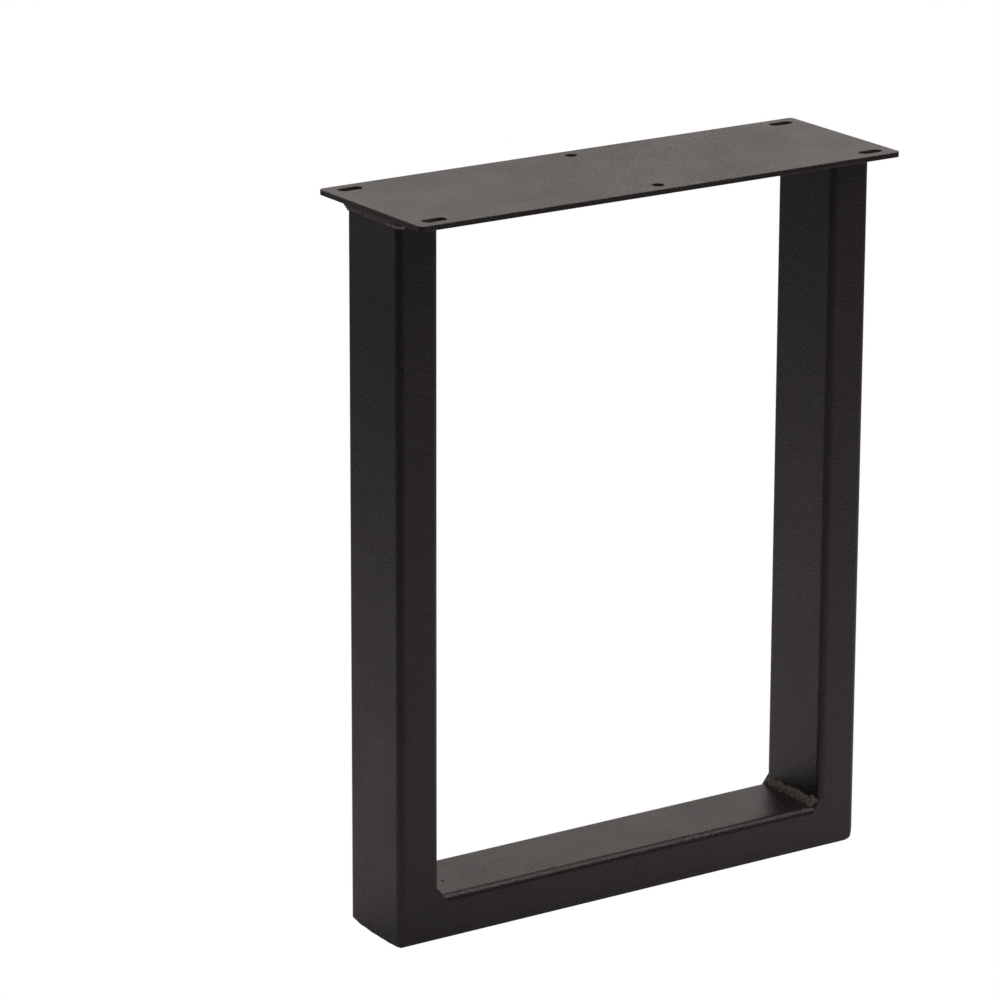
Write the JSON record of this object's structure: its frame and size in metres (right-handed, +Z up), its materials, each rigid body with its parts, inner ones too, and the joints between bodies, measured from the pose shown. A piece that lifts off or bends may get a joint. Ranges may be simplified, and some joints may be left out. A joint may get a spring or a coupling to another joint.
{
  "type": "u shaped table leg",
  "caption": "Welded U frame of rectangular steel tube closed by a flat slotted plate, which screws under a bench seat or low table top as one leg.",
  "frame": {"origin": "on the floor, at the middle of the bottom rail's underside", "axes": "+Z up, the longest extent, to the plate's upper face; +X along the plate and rail; +Y across them, the shortest extent"},
  "size_m": [0.306, 0.098, 0.4],
  "materials": {
    "black_coat": "fine textured black powder coat",
    "coated_weld": "rough weld bead under the same black powder coat"
  },
  "bodies": {
    "root": {"mounting_plate": "black_coat", "left_upright": "black_coat", "right_upright": "black_coat", "bottom_rail": "black_coat", "left_plate_weld": "coated_weld", "right_plate_weld": "coated_weld", "left_corner_weld": "coated_weld", "right_corner_weld": "coated_weld"}
  },
  "joints": []
}
